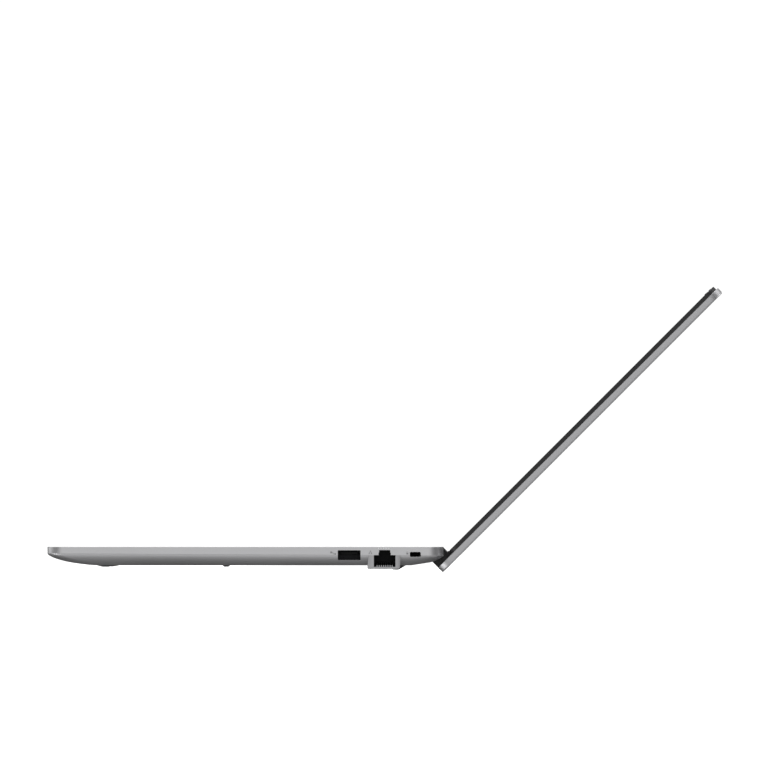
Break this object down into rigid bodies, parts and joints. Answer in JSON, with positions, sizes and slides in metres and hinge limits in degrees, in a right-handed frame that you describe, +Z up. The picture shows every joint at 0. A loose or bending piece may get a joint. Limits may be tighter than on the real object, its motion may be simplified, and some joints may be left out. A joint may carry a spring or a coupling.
{
  "type": "laptop computer",
  "caption": "Grey clamshell laptop, lid open well past upright, thin base with curved underside, side ports and full keyboard; the lid hinges flat.",
  "frame": {"origin": "bottom centre of the bounding box of the open laptop, level with the lid's lowest edge; the base's underside is 3.8 mm above it", "axes": "+X to the user's right, +Y from the user towards the hinge and the open lid, +Z up from the base"},
  "size_m": [0.3594, 0.396, 0.1675],
  "materials": {
    "case_grey": "fine satin, mid grey, anodised look",
    "key_plastic": "fine matt texture, pale legends",
    "bezel_black": "matt, fine grain",
    "hinge_black": "matt",
    "foot_rubber": "matt rubber",
    "socket_black": "matt moulded",
    "socket_metal": "plated sheet",
    "steel": "plated",
    "copper": "flattened copper tube",
    "board": "solder mask",
    "screen_panel": "anti-glare film, dark when off"
  },
  "bodies": {
    "base": {"bottom_cover": "case_grey", "top_cover": "case_grey", "keyboard_frame": "key_plastic", "rear_rail": "hinge_black", "front_foot_right": "foot_rubber", "front_foot_left": "foot_rubber", "rear_foot_right": "foot_rubber", "rear_foot_left": "foot_rubber", "centre_foot": "foot_rubber", "ethernet_socket": "socket_black", "fan_housing": "socket_black", "speaker_left": "socket_black", "speaker_right": "socket_black", "battery": "socket_black", "usb_socket_right": "socket_metal", "usb_socket_left": "socket_metal", "video_socket": "socket_metal", "usb_c_socket_rear": "socket_metal", "usb_c_socket_front": "socket_metal", "audio_socket": "socket_metal", "heat_sink": "socket_metal", "cover_screw_1": "steel", "cover_screw_2": "steel", "cover_screw_3": "steel", "cover_screw_4": "steel", "cover_screw_5": "steel", "cover_screw_6": "steel", "lock_slot_plate": "steel", "keyboard_plate": "steel", "hinge_bracket_right": "steel", "hinge_bracket_left": "steel", "heat_pipe": "copper", "motherboard": "board", "ssd": "board", "memory_module": "board", "wireless_card": "board"},
    "lid": {"lid_cover": "case_grey", "screen_bezel": "bezel_black", "display_panel": "screen_panel", "hinge_cap": "hinge_black", "camera_module": "board", "hinge_arm_right": "steel", "hinge_arm_left": "steel", "hinge_pin_right": "steel", "hinge_pin_left": "steel", "lid_bumper_right": "foot_rubber", "lid_bumper_left": "foot_rubber"},
    "camera_shutter": {"camera_shutter": "bezel_black"},
    "fan_rotor": {"fan_rotor": "socket_black"},
    "touchpad": {"touchpad": "case_grey"},
    "power_button": {"power_button": "key_plastic"},
    "function_row": {"function_row": "key_plastic"},
    "number_row": {"number_row": "key_plastic"},
    "top_letter_row": {"top_letter_row": "key_plastic"},
    "home_row": {"home_row": "key_plastic"},
    "lower_letter_row": {"lower_letter_row": "key_plastic"},
    "bottom_left_keys": {"bottom_left_keys": "key_plastic"},
    "space_bar": {"space_bar": "key_plastic"},
    "bottom_right_keys": {"bottom_right_keys": "key_plastic"}
  },
  "joints": [
    {"name": "lid_hinge", "type": "hinge", "parent": "base", "child": "lid", "pos_m": [0, 0.02969, 0.01071], "axis": [-1, 0, 0], "range_deg": [-135, 45]},
    {"name": "camera_shutter_slide", "type": "slide", "parent": "lid", "child": "camera_shutter", "axis": [-1, 0, 0], "range_m": [0, 0.0044]},
    {"name": "fan_spin", "type": "hinge", "parent": "base", "child": "fan_rotor", "pos_m": [0.1025, -0.03551, 0.00726], "axis": [0, 0, 1], "continuous": true},
    {"name": "touchpad_press", "type": "hinge", "parent": "base", "child": "touchpad", "pos_m": [-0.036, -0.11201, 0.01311], "axis": [1, 0, 0], "range_deg": [0, 0.4], "stiffness_Nm_per_rad": 10, "springref_deg": -0.17},
    {"name": "power_button_press", "type": "slide", "parent": "base", "child": "power_button", "axis": [0, 0, -1], "range_m": [0, 0.0008], "stiffness_N_per_m": 500, "springref_m": -0.001},
    {"name": "function_row_press", "type": "slide", "parent": "base", "child": "function_row", "axis": [0, 0, -1], "range_m": [0, 0.0013], "stiffness_N_per_m": 500, "springref_m": -0.001},
    {"name": "number_row_press", "type": "slide", "parent": "base", "child": "number_row", "axis": [0, 0, -1], "range_m": [0, 0.0013], "stiffness_N_per_m": 500, "springref_m": -0.001},
    {"name": "top_letter_row_press", "type": "slide", "parent": "base", "child": "top_letter_row", "axis": [0, 0, -1], "range_m": [0, 0.0013], "stiffness_N_per_m": 500, "springref_m": -0.001},
    {"name": "home_row_press", "type": "slide", "parent": "base", "child": "home_row", "axis": [0, 0, -1], "range_m": [0, 0.0013], "stiffness_N_per_m": 500, "springref_m": -0.001},
    {"name": "lower_letter_row_press", "type": "slide", "parent": "base", "child": "lower_letter_row", "axis": [0, 0, -1], "range_m": [0, 0.0013], "stiffness_N_per_m": 500, "springref_m": -0.001},
    {"name": "bottom_left_keys_press", "type": "slide", "parent": "base", "child": "bottom_left_keys", "axis": [0, 0, -1], "range_m": [0, 0.0013], "stiffness_N_per_m": 500, "springref_m": -0.001},
    {"name": "space_bar_press", "type": "slide", "parent": "base", "child": "space_bar", "axis": [0, 0, -1], "range_m": [0, 0.0013], "stiffness_N_per_m": 500, "springref_m": -0.001},
    {"name": "bottom_right_keys_press", "type": "slide", "parent": "base", "child": "bottom_right_keys", "axis": [0, 0, -1], "range_m": [0, 0.0013], "stiffness_N_per_m": 500, "springref_m": -0.001}
  ]
}
